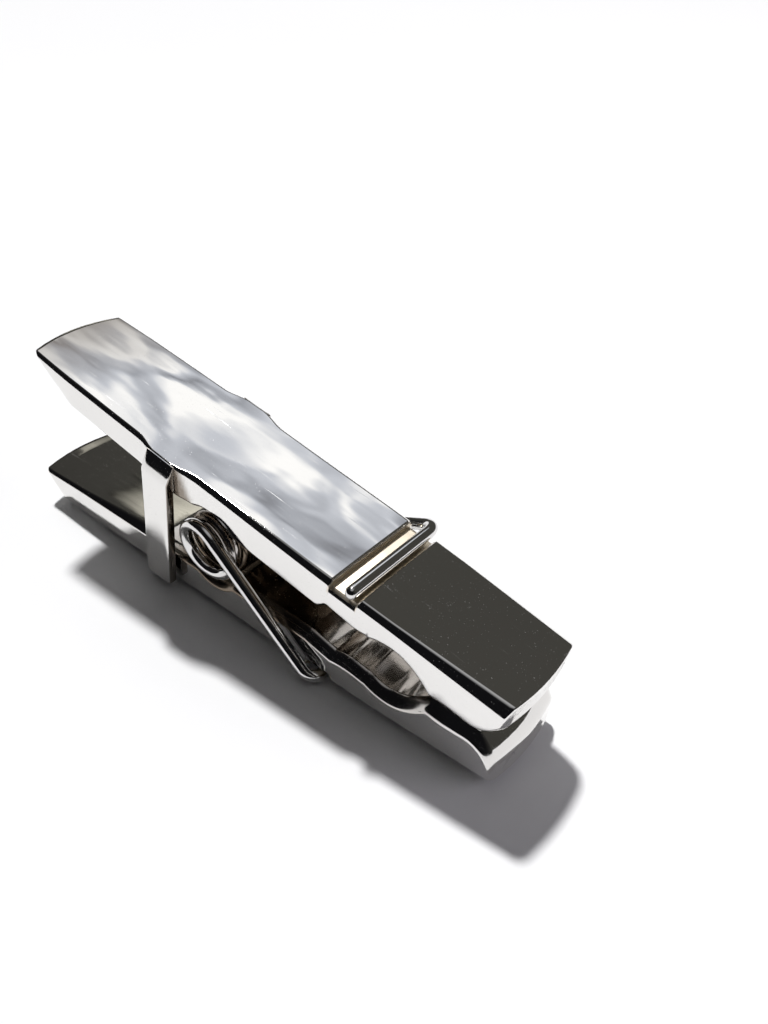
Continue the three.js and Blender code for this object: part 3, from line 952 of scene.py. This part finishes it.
# %% The cloudy sheet that the top behind the crossbar reflects
CLOUD_STOPS = [
    (0.27, (0.12, 0.12, 0.13)),
    (0.38, (0.42, 0.44, 0.49)),
    (0.48, (0.68, 0.71, 0.78)),
    (0.56, (1.2, 1.2, 1.2)),
]
TAIL_BROWN = (0.22, 0.19, 0.165)
panel_places = [(upper_notch, 14), (upper_notch, -14), (-6, -20), (-6, 20)]
panel_corners = [seen_in_top(*place) for place in panel_places]
glow, spot = glowing_sheet("panel", panel_corners, (0.7, 0.72, 0.76))
clouds = noise(glow, spot, 2.3, 2.0, (1.2, 1.3, 1), (0, 0, 0.7))
clouds.node.inputs["Distortion"].default_value = 0.7
shades = add(glow, "ShaderNodeValToRGB")
for element, (position, shade) in zip(shades.color_ramp.elements, CLOUD_STOPS[::3]):
    element.position, element.color = position, (*shade, 1)
for position, shade in CLOUD_STOPS[1:-1]:
    shades.color_ramp.elements.new(position).color = (*shade, 1)
glow.links.new(clouds, shades.inputs[0])
near_tail = math_node(glow, "SUBTRACT", second_edge(glow, spot), 0.72)
tail_end = math_node(glow, "MULTIPLY", near_tail, 5, True)
streaks = math_node(glow, "SUBTRACT", 1.35, math_node(glow, "MULTIPLY", clouds, 1.1), True)
browned = math_node(glow, "MULTIPLY", tail_end, streaks)
sheet_colour = mixed(glow, shades.outputs["Color"], TAIL_BROWN, browned)
glow.links.new(sheet_colour, glow.nodes["Principled BSDF"].inputs["Emission Color"])
print("panel corners", [tuple(round(v, 3) for v in corner) for corner in panel_corners])

# %% The small sheet that the lower handle reflects, fading towards its tail
tail_places = [(24, 7), (24, -8), (13, -8), (11, 7)]
tail_corners = [seen_in_tail(*place) for place in tail_places]
tail_glow, tail_spot = glowing_sheet("tail_panel", tail_corners, (0.6, 0.58, 0.5))
from_strap = math_node(tail_glow, "SUBTRACT", 1.0, second_edge(tail_glow, tail_spot))
fading = math_node(tail_glow, "MULTIPLY", from_strap, 1.6)
tail_glow.links.new(fading, tail_glow.nodes["Principled BSDF"].inputs["Emission Strength"])
print("tail sheet corners", [tuple(round(v, 3) for v in corner) for corner in tail_corners])

# %% [markdown]
# A sun lamp, five degrees wide, makes the shadow crisp with a slightly soft edge. A weak
# area lamp fills the shadow and is hidden from reflections. The room is a gradient: nearly
# black, a little lighter on the far side, with a pale glow straight overhead.

# %% The lights
SUN_STRENGTH, SUN_WIDE, SUN_FROM = 3.35, 5, (-0.468, 0.345, 1)
FILL_STRENGTH, FILL_SIZE = 3.4, 0.8
FILL_COLOUR, FILL_PLACE = (0.93, 0.89, 1.0), (1.0, 0.5, 0.55)
sun = bpy.data.objects.new("key_light", bpy.data.lights.new("key_light", "SUN"))
bpy.context.scene.collection.objects.link(sun)
sun.data.energy = SUN_STRENGTH
sun.data.angle = math.radians(SUN_WIDE)
sun.rotation_euler = Vector(SUN_FROM).to_track_quat("Z", "Y").to_euler()
fill = bpy.data.objects.new("fill_light", bpy.data.lights.new("fill_light", "AREA"))
bpy.context.scene.collection.objects.link(fill)
fill.data.energy, fill.data.size, fill.data.color = FILL_STRENGTH, FILL_SIZE, FILL_COLOUR
fill.location = FILL_PLACE
fill.rotation_euler = fill.location.to_track_quat("Z", "Y").to_euler()
fill.visible_glossy = False
print("sun", SUN_STRENGTH, "fill", FILL_STRENGTH)

# %% The room
DARK_WALL, FAR_WALL = (0.3, (0.006, 0.006, 0.007)), (0.75, (0.062, 0.06, 0.054))
OVERHEAD_GLOW = (0.4, 0.4, 0.41)
world = bpy.data.worlds.new("room")
bpy.context.scene.world = world
world.use_nodes = True
room = world.node_tree
look = add(room, "ShaderNodeSeparateXYZ")
room.links.new(add(room, "ShaderNodeTexCoord").outputs["Generated"], look.inputs[0])
walls = add(room, "ShaderNodeValToRGB")
for element, (position, shade) in zip(walls.color_ramp.elements, (DARK_WALL, FAR_WALL)):
    element.position, element.color = position, (*shade, 1)
half_y = math_node(room, "MULTIPLY", look.outputs["Y"], 0.5)
far_side = math_node(room, "ADD", half_y, 0.5, True)
room.links.new(far_side, walls.inputs[0])
near_top = math_node(room, "SUBTRACT", look.outputs["Z"], 0.88)
overhead = math_node(room, "MULTIPLY", near_top, 9, True)
ceiling = mixed(room, walls.outputs["Color"], OVERHEAD_GLOW, overhead)
room.links.new(ceiling, room.nodes["Background"].inputs["Color"])
bpy.context.scene.view_settings.view_transform = "Standard"

# %% Sizes, and the end
json.dump({"cad": cad_box, "visual": [list(corner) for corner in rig.bounds()]}, open("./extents.json", "w"))
print("sizes", open("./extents.json").read())
